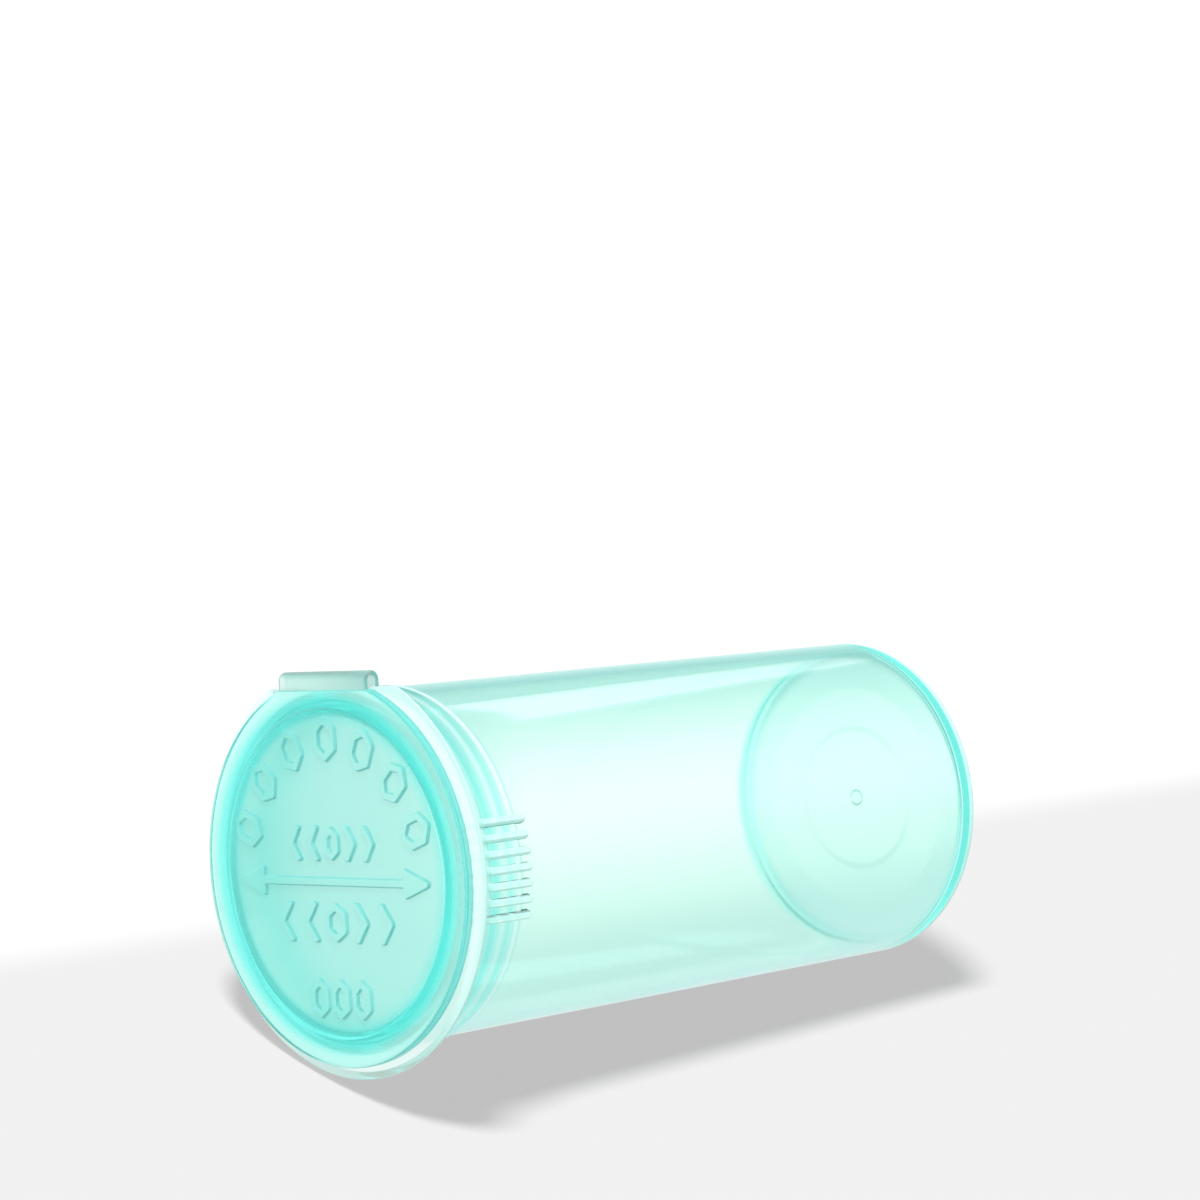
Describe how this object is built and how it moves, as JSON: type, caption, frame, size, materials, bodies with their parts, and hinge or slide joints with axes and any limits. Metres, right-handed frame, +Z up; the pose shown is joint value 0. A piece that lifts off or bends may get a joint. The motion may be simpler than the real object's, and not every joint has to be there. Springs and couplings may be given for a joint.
{
  "type": "prescription vial",
  "caption": "Clear tinted plastic vial with a round flanged mouth, a plug-sealed lid on a folded living hinge, and ribbed sides that are squeezed to pop the lid.",
  "frame": {"origin": "centre of the base face that the vial stands on", "axes": "+Z up along the vial's axis, +Y towards the hinge, ribbed squeeze zones at +X and -X"},
  "size_m": [0.05, 0.0492, 0.0939],
  "materials": {
    "clear_aqua": "clear tinted polypropylene, polished",
    "hinge_aqua": "thin folded polypropylene, stress-whitened",
    "frosted_aqua": "finely frosted panel with raised figures",
    "plug_aqua": "polished sealing ring"
  },
  "bodies": {
    "vial": {"vial_body": "clear_aqua"},
    "hinge": {"hinge_strap": "hinge_aqua"},
    "lid": {"lid": "frosted_aqua", "lid_seal_plug": "plug_aqua"}
  },
  "joints": [
    {"name": "hinge_swing", "type": "hinge", "parent": "vial", "child": "hinge", "pos_m": [0, 0.02368, 0.09177], "axis": [-1, 0, 0], "range_deg": [0, 95]},
    {"name": "lid_swing", "type": "hinge", "parent": "hinge", "child": "lid", "pos_m": [0, 0.02368, 0.09313], "axis": [-1, 0, 0], "range_deg": [0, 95]}
  ],
  "couplings": [
    {"joint": "hinge_swing", "follows": "lid_swing", "ratio": 1}
  ]
}
